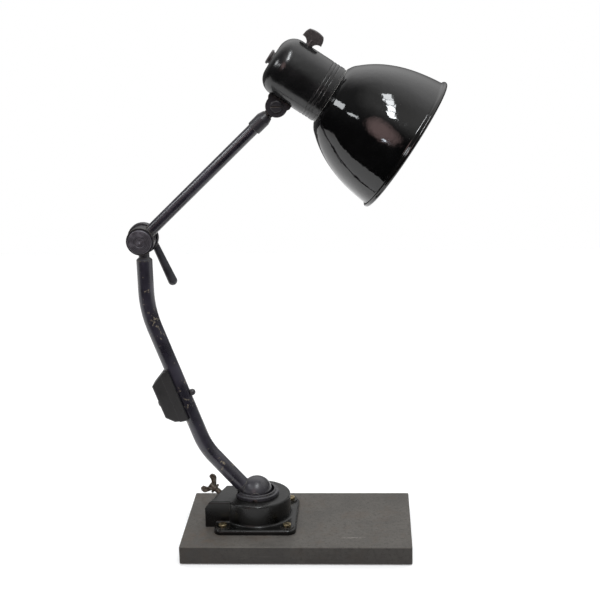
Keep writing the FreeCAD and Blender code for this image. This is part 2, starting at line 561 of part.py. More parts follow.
# ---------------------------------------------------------------- elbow
def make_elbow():
    """Two half discs, a bright washer, a cap, the bolt and the clamping lever."""
    face = FreeCAD.Placement(ELBOW, FACE_VIEWER)
    half = "disc_gap / 2"
    lower = new_body("elbow_lower_disc", FreeCAD.Placement(ELBOW, about(Y_AXIS, "-lean_top")))
    pad(lower, circle(new_sketch(lower, "XZ", frame(0, 0, f"-{half}")), "0", "0", "disc_radius"),
        "disc_thick", back=True)
    neck_low, tube_end = "-disc_radius + 4", "-tube_top_gap"
    neck = draw(new_sketch(lower, "XZ", frame("elbow_shift", 0, 0)), [
        ("0", f"{tube_end} - 14"), ("tube_radius - tube_wall - running_gap", f"{tube_end} - 14"),
        ("tube_radius - tube_wall - running_gap", tube_end), ("tube_radius - 0.3", tube_end),
        ("tube_radius - 0.3", f"{tube_end} + 0.6"), ("neck_radius", f"{tube_end} + 3"),
        ("neck_radius", neck_low), ("0", neck_low)])
    feature(lower, "Revolution", neck)
    doc.recompute()
    pocket(lower, circle(new_sketch(lower, "XZ", frame(0, 0, f"-{half}")), "0", "0", "disc_radius + 0.6"),
           "20", back=True)
    bore_through(lower, "XZ", "0", "0", "elbow_bolt_radius + running_gap")
    upper = new_body("elbow_upper_disc", ARM)
    pad(upper, circle(new_sketch(upper, "XZ", frame(0, 0, half)), "0", "0", "disc_radius"), "disc_thick")
    root = draw(new_sketch(upper, "XZ"), [
        ("0", "disc_radius - 5"), ("rod_radius", "disc_radius - 5"),
        ("rod_radius", "disc_radius + rod_gap - running_gap"),
        ("rod_radius - rod_wall - running_gap", "disc_radius + rod_gap - running_gap"),
        ("rod_radius - rod_wall - running_gap", "disc_radius + rod_gap + 14"),
        ("0", "disc_radius + rod_gap + 14")])
    feature(upper, "Revolution", root)
    doc.recompute()
    pocket(upper, circle(new_sketch(upper, "XZ", frame(0, 0, half)), "0", "0", "disc_radius + 0.6"), "20")
    bore_through(upper, "XZ", "0", "0", "elbow_bolt_radius + close_gap")
    seat = circle(new_sketch(upper, "XZ", frame(0, 0, f"{half} + disc_thick")),
                  "0", "0", "bolt_head_radius + 0.2")
    pocket(upper, seat, "bolt_head_thick + 0.2")
    turned("elbow_washer", face, tube_outline(
        "elbow_bolt_radius + 0.2", "disc_radius - 0.5", "-washer_thick / 2", "washer_thick / 2"))
    outer = f"({half} + disc_thick)"
    turned("elbow_cap", face, [
        ("0", f"{outer} + close_gap"), ("cap_radius", f"{outer} + close_gap"),
        ("cap_radius", f"{outer} + cap_thick - 1", "1"), ("cap_radius - 1", f"{outer} + cap_thick"),
        ("recess_radius", f"{outer} + cap_thick"),
        ("recess_radius - 0.6", f"{outer} + cap_thick - 1"), ("1.6", f"{outer} + cap_thick - 1"),
        ("0", f"{outer} + cap_thick - 1.8")])
    turned("elbow_bolt", face, [
        ("0", "-lever_set_back - lever_hub_thick / 2 - 1.5"),
        ("elbow_bolt_radius", "-lever_set_back - lever_hub_thick / 2 - 1.5"),
        ("elbow_bolt_radius", f"{outer} - bolt_head_thick - 0.1"),
        ("bolt_head_radius", f"{outer} - bolt_head_thick - 0.1"), ("bolt_head_radius", f"{outer} - 0.1"),
        ("0", f"{outer} - 0.1")])


def make_lever():
    """Round-hubbed clamping lever behind the elbow; its handle is a tapered bar with a ball end."""
    body = new_body("clamp_lever", FreeCAD.Placement(ELBOW, about(Y_AXIS, "-lever_lean")))
    hub = circle(new_sketch(body, "XZ", frame(0, 0, "-lever_set_back + 1 - lever_hub_thick / 2")),
                 "0", "0", "lever_hub_radius")
    pad(body, hub, "lever_hub_thick")
    dress(body, "Fillet", "1", lambda middle, edge: True)
    slide = FreeCAD.Placement(Vec(number("lever_offset"), 0, number("-lever_set_back")), FreeCAD.Rotation())
    tip = "lever_tip_radius"
    handle = draw(new_sketch(body, "XZ", slide), [
        ("0", "-8"), ("lever_root_radius", "-8"), (tip, "-lever_length", f"-{tip}"),
        ("0", f"-lever_length - {tip}")])
    feature(body, "Revolution", handle)
    doc.recompute()
    bore_through(body, "XZ", "0", "0", "elbow_bolt_radius + running_gap")


# ---------------------------------------------------------------- upper arm
def make_upper_arm():
    """Slim tube, tapered ferrule and the swivelling tongue of the head hinge."""
    end = "(ferrule_start + ferrule_length)"
    turned("upper_tube", ARM, tube_outline(
        "rod_radius - rod_wall", "rod_radius", "disc_radius + rod_gap", f"{end} - 2"))
    turned("tube_ferrule", ARM, [
        ("rod_radius + close_gap", "ferrule_start"), ("ferrule_radius - 0.5", "ferrule_start"),
        ("ferrule_radius", "ferrule_start + 0.6"), ("ferrule_radius", end),
        ("ferrule_nose", f"{end} + ferrule_taper"),
        ("swivel_radius + running_gap", f"{end} + ferrule_taper"),
        ("swivel_radius + running_gap", f"{end} - 1.8"), ("rod_radius + close_gap", f"{end} - 1.8")])
    tongue = turned("head_tongue", ARM, [
        ("0", f"{end} - 8"), ("swivel_radius", f"{end} - 8"),
        ("swivel_radius", f"{end} + ferrule_taper + 0.2"), ("4.8", f"{end} + ferrule_taper + 0.2"),
        ("4.8", "arm_length - tongue_radius"), ("0", "arm_length - tongue_radius")])
    plate = draw(new_sketch(tongue, "XZ"), [
        ("4.5", f"{end} + ferrule_taper + 1.2"), ("tongue_radius", "arm_length", "tongue_radius"),
        ("0", "arm_length + tongue_radius", "tongue_radius"), ("-tongue_radius", "arm_length"),
        ("-4.5", f"{end} + ferrule_taper + 1.2")])
    pad(tongue, plate, "tongue_thick", both=True)
    doc.recompute()
    for side in (-1, 1):
        near, far = f"{side} * tongue_thick / 2", f"{side} * 20"
        low, high = f"{end} + ferrule_taper + 1.6", "arm_length + 20"
        cheek = draw(new_sketch(tongue, "YZ"), [(near, low), (far, low), (far, high), (near, high)])
        pocket(tongue, cheek, "30", both=True)
    bore_through(tongue, "XZ", "0", "arm_length", "hinge_pin + running_gap")


# ---------------------------------------------------------------- lamp head
def make_head_hinge():
    """Fork riveted under the housing, with its bolt and nut."""
    fork = new_body("head_fork", HEAD)
    low, high = "(hinge_back - fork_half)", "(hinge_back + fork_half)"
    eye = "fork_end * cos(10deg)"
    pad(fork, draw(new_sketch(fork, "XZ"), [
        ("20", high), ("20", low), ("fork_slot_top + 0.8", low),
        ("hinge_drop - fork_end * sin(10deg)", f"hinge_back - {eye}", "fork_end"),
        ("hinge_drop + fork_end", "hinge_back", "fork_end"),
        ("hinge_drop - fork_end * sin(10deg)", f"hinge_back + {eye}"),
        ("fork_slot_top + 0.8", high)]), "tongue_thick + 0.5 + 2 * fork_ear", both=True)
    doc.recompute()
    seat = circle(new_sketch(fork, "XY"), "0", "0", "housing_radius + running_gap")
    pocket(fork, seat, "housing_length", back=True)
    gap = draw(new_sketch(fork, "XZ"), [
        ("fork_slot_top", "0"), ("60", "0"), ("60", "housing_length"), ("fork_slot_top", "housing_length")])
    pocket(fork, gap, "tongue_thick + 0.5", both=True)
    pin_hole = circle(new_sketch(fork, "XZ"), "hinge_drop", "hinge_back", "hinge_pin + close_gap")
    pocket(fork, pin_hole, "through_cut", both=True)
    for sign in (-1, 1):
        rivets = new_sketch(fork, "YZ")
        for side in (-1, 1):
            circle(rivets, f"{side} * (tongue_thick / 2 + 0.25 + fork_ear / 2)",
                   f"hinge_back + {sign} * rivet_spacing / 2", "rivet_radius + close_gap")
        pocket(fork, rivets, "hinge_drop - 1.8", back=True)
    side = FreeCAD.Placement(HINGE, FACE_VIEWER)
    outer = "(tongue_thick / 2 + 0.25 + fork_ear)"
    bolt = turned("hinge_bolt", side, [
        ("0", f"-{outer} - 4.4"), ("hinge_pin", f"-{outer} - 4.4"), ("hinge_pin", f"{outer} + running_gap"),
        ("hinge_head", f"{outer} + running_gap"), ("hinge_head", f"{outer} + 1.4", "2.6"),
        ("hinge_head - 1.6", f"{outer} + 2.5"), ("0", f"{outer} + 2.5")])
    pocket(bolt, draw(new_sketch(bolt, "XY", frame(0, 0, f"{outer} + 1.5")), [
        ("-9", "-0.5"), ("9", "-0.5"), ("9", "0.5"), ("-9", "0.5")]), "5", back=True)
    nut = new_body("hinge_nut", side)
    across = "(hinge_head + 0.3)"
    corners = [(f"{across} * cos({60 * index}deg)", f"{across} * sin({60 * index}deg)")
               for index in range(6)]
    corners[0], corners[3] = (across, "0"), (f"-{across}", "0")
    pad(nut, draw(new_sketch(nut, "XY", frame(0, 0, f"-{outer} - 3.6")), corners), "3.5")
    doc.recompute()
    bore = circle(new_sketch(nut, "XY", frame(0, 0, "-30")), "0", "0", "hinge_pin + close_gap")
    pocket(nut, bore, "60", back=True)
    rivets = []
    for sign in (-1, 1):
        for flank in (-1, 1):
            inner = number("housing_radius - housing_wall") - 0.9
            length = number("hinge_drop - 2.2") - inner
            stem = Part.makeCylinder(number("rivet_radius"), length, Vec(), X_AXIS)
            cap = Part.makeCylinder(number("rivet_radius") + 1.2, 1.1, Vec(-1.1, 0, 0), X_AXIS)
            rivet = stem.fuse(cap).removeSplitter()
            rivet.Placement = frame(inner - 0.5, f"{flank} * (tongue_thick / 2 + 0.25 + fork_ear / 2)",
                                    f"hinge_back + {sign} * rivet_spacing / 2")
            rivets.append(rivet)
    loose("fork_rivets", HEAD, Part.makeCompound(rivets))


def make_housing():
    """Turned socket housing with a rounded end and three decorative grooves."""
    inner = "(housing_radius - housing_wall)"
    outline = [("plug_hole", "0"), ("housing_radius - housing_round", "0", "housing_round"),
               ("housing_radius", "housing_round")]
    for index in range(3):
        middle = f"groove_first + {index} * groove_pitch"
        outline += [("housing_radius", f"{middle} - 0.9", "-groove_radius"),
                    ("housing_radius", f"{middle} + 0.9")]
    outline += [("housing_radius", "housing_length - 2.6"), ("housing_radius - 0.6", "housing_length - 2.2"),
                ("housing_radius - 0.6", "housing_length - running_gap"),
                (inner, "housing_length - running_gap"),
                (inner, "housing_round", "-(housing_round - housing_wall)"),
                ("housing_radius - housing_round", "housing_wall"), ("plug_hole", "housing_wall")]
    body = turned("socket_housing", HEAD, outline)
    doc.recompute()
    pocket(body, circle(new_sketch(body, "YZ"), "0", "key_back", "key_stem + 0.4"), "60")
    rivets = new_sketch(body, "YZ")
    for side in (-1, 1):
        for sign in (-1, 1):
            circle(rivets, f"{side} * (tongue_thick / 2 + 0.25 + fork_ear / 2)",
                   f"hinge_back + {sign} * rivet_spacing / 2", "rivet_radius + close_gap")
    pocket(body, rivets, "60", back=True)
    turned("back_plug", HEAD, [
        ("0", "-plug_proud"), ("plug_radius - 0.8", "-plug_proud"), ("plug_radius", "-plug_proud + 0.8"),
        ("plug_radius", "-plug_proud + 2.2"), ("plug_radius - 1.4", "-plug_proud + 2.8"),
        ("plug_radius - 1.4", "-running_gap"), ("plug_hole - running_gap", "-running_gap"),
        ("plug_hole - running_gap", "3"), ("0", "3")])


def make_switch():
    """Rotary switch under the housing's skin and its two-winged key."""
    up = HEAD * FreeCAD.Placement(Vec(0, 0, number("key_back")), about(Y_AXIS, "-90"))
    top = "(housing_radius - housing_wall - 1.2)"
    turned("switch_body", up, [
        ("3.1", f"{top} - switch_depth"), ("switch_radius", f"{top} - switch_depth"),
        ("switch_radius", f"{top} - 2"), ("switch_radius - 2", top), ("3.1", top)])
    key = turned("switch_key", up, [
        ("0", f"{top} - switch_depth + 2"), ("3.05", f"{top} - switch_depth + 2"),
        ("3.05", f"{top} + 0.4"), ("key_stem", f"{top} + 0.4"), ("key_stem", "housing_radius + 6"),
        ("0", "housing_radius + 6")])
    base = "housing_radius"
    wings = draw(new_sketch(key, "XZ"), [
        ("-key_stem", f"{base} + 1.4"), ("key_stem", f"{base} + 1.4", "-6.5"), ("key_half", f"{base} + 5.4"),
        ("key_half - 0.4", f"{base} + 9", "12"), ("key_half - 3", f"{base} + key_height", "24"),
        ("-key_half + 3", f"{base} + key_height", "12"), ("-key_half + 0.4", f"{base} + 9"),
        ("-key_half", f"{base} + 5.4", "-6.5")])
    pad(key, wings, "key_thick", both=True)
    dress(key, "Fillet", "1", lambda middle, edge: abs(abs(middle.y) - number("key_thick / 2")) < 0.01
          and middle.z > number("housing_radius") + 6.5)


def make_lampholder():
    """Porcelain holder, threaded shell, contact, carrier ring and the lamp bulb."""
    turned("lamp_holder", HEAD, [
        ("0", "holder_start"), ("holder_radius - 2", "holder_start"), ("holder_radius", "holder_start + 2"),
        ("holder_radius", "holder_end"), ("thread_radius + shell_wall + 0.1", "holder_end"),
        ("thread_radius + shell_wall + 0.1", "holder_start + 3"), ("0", "holder_start + 3")])
    turned("threaded_shell", HEAD, tube_outline(
        "thread_radius", "thread_radius + shell_wall", "holder_start + 3.1", "holder_end - 1"))
    turned("centre_contact", HEAD, [
        ("0", "holder_start + 3.1"), ("5", "holder_start + 3.1"), ("5", "holder_start + 3.9"),
        ("3", "holder_start + 4.4"), ("0", "holder_start + 4.6")])
    turned("shade_carrier", HEAD, tube_outline(
        "holder_radius + running_gap", "housing_radius - housing_wall - running_gap",
        "housing_length - sleeve_length - carrier_thick - 0.2", "housing_length - sleeve_length - 0.2"))
    turned("bulb_cap", HEAD, [
        ("0", "holder_start + 4.8"), ("4.5", "holder_start + 4.8"), ("8", "holder_start + 7"),
        ("thread_radius - 0.15", "holder_start + 8"), ("thread_radius - 0.15", "holder_end + 1"),
        ("0", "holder_end + 1")])
    centre = "(bulb_end - bulb_radius)"
    glass = "glass_wall"
    turned("bulb_glass", HEAD, [
        ("thread_radius - 1.6", "holder_end + 1.1"), ("thread_radius - 0.6", "holder_end + 1.1"),
        ("bulb_neck", "holder_end + 8", "-60"),
        ("bulb_radius * cos(30deg)", f"{centre} - bulb_radius * sin(30deg)", "bulb_radius"),
        ("0", "bulb_end"), ("0", f"bulb_end - {glass}", f"-(bulb_radius - {glass})"),
        (f"(bulb_radius - {glass}) * cos(30deg)", f"{centre} - (bulb_radius - {glass}) * sin(30deg)", "61"),
        (f"bulb_neck - {glass}", "holder_end + 8")])


def make_shade():
    """Spun steel bell: sleeve, three arcs that open it out, and a rolled rim."""
    seam, wall = "housing_length", "shade_wall"
    neck, sleeve = "(housing_radius + neck_step)", "(housing_radius - housing_wall - sleeve_gap)"
    reach = f"(shade_mouth - {neck})"
    outer = [("0", "0"), ("0.277", "0.103"), ("0.716", "0.42"), ("1", "0.975")]
    skin = [(f"{neck} + {reach} * {out}", f"{seam} + shade_length * {along}") for out, along in outer]
    normals = ((0.56, -0.83), (0.74, -0.67), (0.92, -0.38), (0.99, -0.14))
    lining = [(f"{point[0]} - {wall} * {across}", f"{point[1]} - {wall} * {back}")
              for point, (across, back) in zip(skin, normals)]
    bends = ("60", "101", "206")
    outline = [(sleeve, f"{seam} - sleeve_length"), (sleeve, seam)]
    outline += [point + (bend,) for point, bend in zip(skin, bends)] + [skin[3]]
    outline += [lining[3] + (f"-({bends[2]} - {wall})",), lining[2] + (f"-({bends[1]} - {wall})",),
                lining[1] + (f"-({bends[0]} - {wall})",), lining[0]]
    outline += [(f"{sleeve} - {wall}", f"{seam} + {wall}"),
                (f"{sleeve} - {wall}", f"{seam} - sleeve_length")]
    body = turned("shade", HEAD, outline)
    rim = circle(new_sketch(body, "XZ"), "shade_mouth + rim_proud - rim_radius",
                 f"{seam} + shade_length - rim_radius", "rim_radius")
    feature(body, "Revolution", rim)
    doc.recompute()


for build in (make_felt, make_slab, make_bracket, make_bracket_screws, make_clamp, make_collar,
              make_knuckle, make_lower_tube, make_box, make_elbow, make_lever, make_upper_arm,
              make_head_hinge, make_housing, make_switch, make_lampholder, make_shade):
    build()
    print(build.__name__)

doc.recompute()

NODES = (
    "felt_pad", "base_slab", "bracket_housing", "bracket_screws", "brake_shoe", "wing_screw",
    "swivel_collar", "collar_keeper", "tilt_pin", "ball_knuckle", "lower_tube", "terminal_box",
    "terminal_box_cover", "terminal_block", "box_bolt", "box_cap_nut", "cable_grommet",
    "elbow_lower_disc", "elbow_upper_disc", "elbow_washer", "elbow_cap", "elbow_bolt",
    "clamp_lever", "upper_tube", "tube_ferrule", "head_tongue", "head_fork", "hinge_bolt",
    "hinge_nut", "fork_rivets", "socket_housing", "back_plug", "switch_body", "switch_key",
    "lamp_holder", "threaded_shell", "centre_contact", "shade_carrier", "bulb_cap", "bulb_glass",
    "shade")

for thing in doc.Objects:
    if "Invalid" in thing.State or "Error" in thing.State:
        raise ValueError(f"{thing.Label} did not compute")

for node in NODES:
    part = doc.getObjectsByLabel(node)[0]
    if part.Shape.isNull() or not part.Shape.isValid():
        raise ValueError(f"{node} has no valid shape")

for node in NODES:
    part = doc.getObjectsByLabel(node)[0]
    part.Shape.exportStep(f"parts/{node}.step")
    print(f"{node}: {len(part.Shape.Solids)} solids, {part.Shape.Volume:.0f} mm3")
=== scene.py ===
"""Looks for the jointed desk lamp: shade, housing, tubes, castings, slab, studio and camera.

Metres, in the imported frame: +Z up, +X towards the shade, +Y away from the viewer.
"""
import json
import math

import bmesh
import bpy
import numpy as np
from mathutils import Matrix, Vector
from bpy.props import FloatProperty, FloatVectorProperty, PointerProperty


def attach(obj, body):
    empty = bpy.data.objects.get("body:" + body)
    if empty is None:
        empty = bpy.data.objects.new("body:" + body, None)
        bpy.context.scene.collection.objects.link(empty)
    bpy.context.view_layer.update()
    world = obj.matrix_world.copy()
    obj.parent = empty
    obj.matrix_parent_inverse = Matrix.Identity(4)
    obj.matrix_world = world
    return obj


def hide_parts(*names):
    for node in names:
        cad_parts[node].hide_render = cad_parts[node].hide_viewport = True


bl_info = {
    "name": "Desk lamp looks",
    "version": (1, 0, 0),
    "blender": (4, 5, 0),
    "location": "View3D > Sidebar > Desk Lamp",
    "description": "Builds the finished surfaces of a jointed desk lamp around its packed parts",
    "category": "Object",
}

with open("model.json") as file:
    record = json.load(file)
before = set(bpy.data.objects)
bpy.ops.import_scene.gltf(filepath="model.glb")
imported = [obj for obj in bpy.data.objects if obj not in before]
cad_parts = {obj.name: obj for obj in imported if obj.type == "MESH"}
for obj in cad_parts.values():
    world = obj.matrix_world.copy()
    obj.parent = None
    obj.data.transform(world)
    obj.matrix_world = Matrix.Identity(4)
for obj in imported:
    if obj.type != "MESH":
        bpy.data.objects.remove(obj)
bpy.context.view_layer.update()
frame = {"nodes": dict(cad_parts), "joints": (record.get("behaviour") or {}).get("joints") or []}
MM = 0.001


def joint(name):
    """Place and axis of a joint at rest."""
    found = next(item for item in frame["joints"] if item["name"] == name)
    return np.array(found["pos_m"]), np.array(found["axis"])


ELBOW = joint("elbow")[0]
HINGE, ARM_AXIS = joint("head_swivel")
KEY_UP = joint("key_turn")[1]
HEAD_AXIS = np.array([KEY_UP[2], 0.0, -KEY_UP[0]])
SIDE = np.array([0.0, 1.0, 0.0])
HINGE_DROP, HINGE_BACK = 37.8 * MM, 29.3 * MM
HEAD_BACK = HINGE + HINGE_DROP * KEY_UP - HINGE_BACK * HEAD_AXIS


# ---------------------------------------------------------------- settings
def length(title, text, default):
    """Length property in metres."""
    return FloatProperty(name=title, description=text, default=default, unit="LENGTH", precision=4)


def shade_of(title, text, default):
    """Linear colour property."""
    return FloatVectorProperty(name=title, description=text, default=default, subtype="COLOR",
                               size=3, min=0, max=1)


class DeskLampHead(bpy.types.PropertyGroup):
    """Sizes and colours of the shade and its housing."""
    neck: length("Neck radius", "Radius of the shade where it leaves the housing", 31.8 * MM)
    mouth: length("Mouth radius", "Radius of the shade just inside its rolled rim", 72.6 * MM)
    depth: length("Shade depth", "Length of the bell along the lamp's axis", 93.5 * MM)
    seam: length("Seam", "Distance of the neck from the housing's back end", 70.1 * MM)
    rim: length("Rim radius", "Radius of the rolled bead at the mouth", 2.3 * MM)
    wall: length("Sheet thickness", "Thickness of the spun steel", 1.0 * MM)
    wave: length("Waviness", "Height of the shallow dents and spinning marks", 0.12 * MM)
    enamel: shade_of("Enamel", "Stove enamel outside", (0.0035, 0.0035, 0.0037))
    lining: shade_of("Lining", "Enamel inside", (0.78, 0.77, 0.72))
    lacquer: shade_of("Housing lacquer", "Black lacquer on the housing", (0.009, 0.009, 0.0095))
    bakelite: shade_of("Bakelite", "Switch key and back plug", (0.046, 0.04, 0.04))


class DeskLampArms(bpy.types.PropertyGroup):
    """Colours of the tubes and joints."""
    paint: shade_of("Tube paint", "Black paint on both tubes", (0.019, 0.0172, 0.026))
    joint_paint: shade_of("Joint paint", "Black paint on discs, lever and ferrule", (0.027, 0.026, 0.031))
    primer: shade_of("Chips", "What shows where the paint has chipped", (0.17, 0.145, 0.105))
    cap: shade_of("Elbow cap", "Browned steel cap over the elbow bolt", (0.085, 0.08, 0.092))
    washer: shade_of("Washer", "Bright friction washer", (0.62, 0.6, 0.55))
    box: shade_of("Terminal box", "Dull moulded box", (0.0085, 0.0082, 0.0086))


class DeskLampBase(bpy.types.PropertyGroup):
    """Colours of the slab and the cast bracket."""
    steel: shade_of("Slab", "Blackened flat bar", (0.086, 0.08, 0.0725))
    rust: shade_of("Rust", "Brown staining on the slab", (0.085, 0.062, 0.046))
    casting: shade_of("Casting", "Painted iron of the bracket", (0.003, 0.003, 0.0028))
    screws: shade_of("Screws", "Worn plated screws", (0.33, 0.27, 0.16))
    wing: shade_of("Wing screw", "Bare browned steel", (0.095, 0.082, 0.068))
    felt: shade_of("Felt", "Felt sheet under the slab", (0.02, 0.03, 0.025))


class DeskLampStage(bpy.types.PropertyGroup):
    """Camera, lights and floor."""
    lens: FloatProperty(name="Lens", description="Focal length in millimetres", default=73.8, min=10)
    place: FloatVectorProperty(name="Camera place", description="Where the camera stands", size=3,
                               default=(0.0831, -1.2628, 0.6225), subtype="TRANSLATION", unit="LENGTH")
    floor: shade_of("Floor", "Plain pale floor", (0.92, 0.92, 0.92))
    sky: FloatProperty(name="Surround", description="Brightness of the studio's surround",
                       default=1.65, min=0)


# ---------------------------------------------------------------- surfaces
def grid_faces(rows, columns, wrap_rows, wrap_columns):
    """Quads of a rows by columns grid, joined up where it wraps."""
    i = np.arange(rows if wrap_rows else rows - 1)
    j = np.arange(columns if wrap_columns else columns - 1)
    i, j = np.meshgrid(i, j, indexing="ij")
    after_i, after_j = (i + 1) % rows, (j + 1) % columns
    corners = (i * columns + j, i * columns + after_j, after_i * columns + after_j, after_i * columns + j)
    return np.stack(corners, -1).reshape(-1, 4)


def piece(name, points, faces, skins=None):
    """Mesh object whose place is in its vertices, with doubles merged and faces turned outwards.

    skins gives each face the number of its material.
    """
    mesh = bpy.data.meshes.new(name)
    mesh.from_pydata(points.reshape(-1, 3).tolist(), [], [list(map(int, face)) for face in faces])
    if skins is not None:
        mesh.polygons.foreach_set("material_index", skins)
    work = bmesh.new()
    work.from_mesh(mesh)
    bmesh.ops.remove_doubles(work, verts=work.verts, dist=1e-6)
    bmesh.ops.dissolve_degenerate(work, dist=1e-6, edges=work.edges)
    bmesh.ops.recalc_face_normals(work, faces=work.faces)
    work.to_mesh(mesh)
    work.free()
    mesh.polygons.foreach_set("use_smooth", [True] * len(mesh.polygons))
    made = bpy.data.objects.new(name, mesh)
    bpy.context.scene.collection.objects.link(made)
    return made


def turned(name, along, radius, start, axis, across, segments, dents, inside):
    """Surface of revolution: point = start + along * axis + radius * (cos(a) * across + sin(a) * side).

    along and radius are a closed profile; dents(a, along) is added to the radius; rows marked
    inside get the second material.
    """
    angle = np.linspace(0, 2 * math.pi, segments, endpoint=False)
    side = np.cross(axis, across)
    rim = np.cos(angle)[:, None] * across + np.sin(angle)[:, None] * side
    reach = radius[:, None] + dents(angle[None, :], along[:, None])
    points = start + along[:, None, None] * axis + reach[:, :, None] * rim[None]
    skins = np.repeat(np.asarray(inside, int), segments)
    return piece(name, points, grid_faces(len(radius), segments, True, True), skins=skins)


def smooth_line(points, count):
    """Curve through points: cubic Hermite pieces with slopes halfway between neighbouring chords."""
    points = np.asarray(points, float)
    steps = np.linalg.norm(np.diff(points, axis=0), axis=1)
    knots = np.concatenate([[0], np.cumsum(steps)])
    slopes = np.gradient(points, knots, axis=0)
    place = np.linspace(0, knots[-1], count)
    index = np.clip(np.searchsorted(knots, place, side="right") - 1, 0, len(knots) - 2)
    span = (knots[index + 1] - knots[index])[:, None]
    t = ((place - knots[index])[:, None]) / span
    return ((2 * t**3 - 3 * t**2 + 1) * points[index] + (t**3 - 2 * t**2 + t) * span * slopes[index]
            + (-2 * t**3 + 3 * t**2) * points[index + 1] + (t**3 - t**2) * span * slopes[index + 1])


# ---------------------------------------------------------------- finishes
class Finish:
    """Node material on Object coordinates, with short calls for the nodes it needs."""

    def __init__(self, name, **sockets):
        self.material = bpy.data.materials.new(name)
        self.material.use_nodes = True
        self.nodes = self.material.node_tree.nodes
        self.links = self.material.node_tree.links
        self.shader = self.nodes["Principled BSDF"]
        for socket, value in sockets.items():
            title = socket.replace("_", " ")
            self.shader.inputs[title].default_value = value
        self.place = self.nodes.new("ShaderNodeTexCoord").outputs["Object"]

    def put(self, socket, value):
        """Link an output or set a plain value on an input socket."""
        if isinstance(value, bpy.types.NodeSocket):
            self.links.new(value, socket)
        elif value is not None:
            socket.default_value = value

    def scaled(self, size):
        """Object coordinates with a factor on each axis."""
        node = self.nodes.new("ShaderNodeMapping")
        self.put(node.inputs["Vector"], self.place)
        self.put(node.inputs["Scale"], size)
        return node.outputs["Vector"]

    def noise(self, scale, detail=3.0, roughness=0.55, distortion=0.0, vector=None):
        node = self.nodes.new("ShaderNodeTexNoise")
        self.put(node.inputs["Vector"], vector or self.place)
        for title, value in (("Scale", scale), ("Detail", detail), ("Roughness", roughness),
                             ("Distortion", distortion)):
            node.inputs[title].default_value = value
        return node.outputs["Fac"]

    def ramp(self, value, low, high, to_low=0.0, to_high=1.0):
        """Smooth step of value between low and high."""
        node = self.nodes.new("ShaderNodeMapRange")
        node.interpolation_type = "SMOOTHSTEP"
        self.put(node.inputs["Value"], value)
        for title, number in (("From Min", low), ("From Max", high), ("To Min", to_low), ("To Max", to_high)):
            node.inputs[title].default_value = number
        return node.outputs["Result"]

    def math(self, operation, first, second=None):
        node = self.nodes.new("ShaderNodeMath")
        node.operation = operation
        self.put(node.inputs[0], first)
        self.put(node.inputs[1], second)
        return node.outputs["Value"]

    def mix(self, factor, first, second):
        """Colour between first and second."""
        node = self.nodes.new("ShaderNodeMix")
        node.data_type = "RGBA"
        self.put(node.inputs["Factor"], factor)
        self.put(node.inputs[6], first if isinstance(first, bpy.types.NodeSocket) else (*first, 1))
        self.put(node.inputs[7], second if isinstance(second, bpy.types.NodeSocket) else (*second, 1))
        return node.outputs[2]

    def spot(self, centre, radius, stretch=(1, 1, 1)):
        """1 at a point of the object, falling smoothly to 0 at radius; stretch narrows it on an axis."""
        node = self.nodes.new("ShaderNodeVectorMath")
        node.operation = "DISTANCE"
        self.put(node.inputs[0], self.scaled(stretch))
        node.inputs[1].default_value = [a * b for a, b in zip(centre, stretch)]
        return self.ramp(node.outputs["Value"], 0.0, radius, 1.0, 0.0)

    def edge(self, radius):
        """Share of edge wear: how far the rounded normal leans from the true one."""
        bevel = self.nodes.new("ShaderNodeBevel")
        bevel.samples = 4
        bevel.inputs["Radius"].default_value = radius
        true = self.nodes.new("ShaderNodeNewGeometry").outputs["Normal"]
        dot = self.nodes.new("ShaderNodeVectorMath")
        dot.operation = "DOT_PRODUCT"
        self.put(dot.inputs[0], bevel.outputs["Normal"])
        self.put(dot.inputs[1], true)
        return self.math("SUBTRACT", 1.0, dot.outputs["Value"])

    def bump(self, height, depth, below=None, rounding=None):
        """Bump of depth metres; rounding softens the mesh's edges first."""
        node = self.nodes.new("ShaderNodeBump")
        node.inputs["Strength"].default_value = 1.0
        node.inputs["Distance"].default_value = depth
        self.put(node.inputs["Height"], height)
        if rounding:
            bevel = self.nodes.new("ShaderNodeBevel")
            bevel.samples = 4
            bevel.inputs["Radius"].default_value = rounding
            below = bevel.outputs["Normal"]
        if below is not None:
            self.put(node.inputs["Normal"], below)
        return node.outputs["Normal"]

    def wire(self, colour=None, rough=None, metal=None, normal=None):
        for title, value in (("Base Color", colour), ("Roughness", rough), ("Metallic", metal),
                             ("Normal", normal)):
            if value is not None:
                self.put(self.shader.inputs[title], value)
        return self.material


def lift(colour, factor):
    """Colour made lighter or darker by a factor."""
    return tuple(min(1.0, channel * factor) for channel in colour)


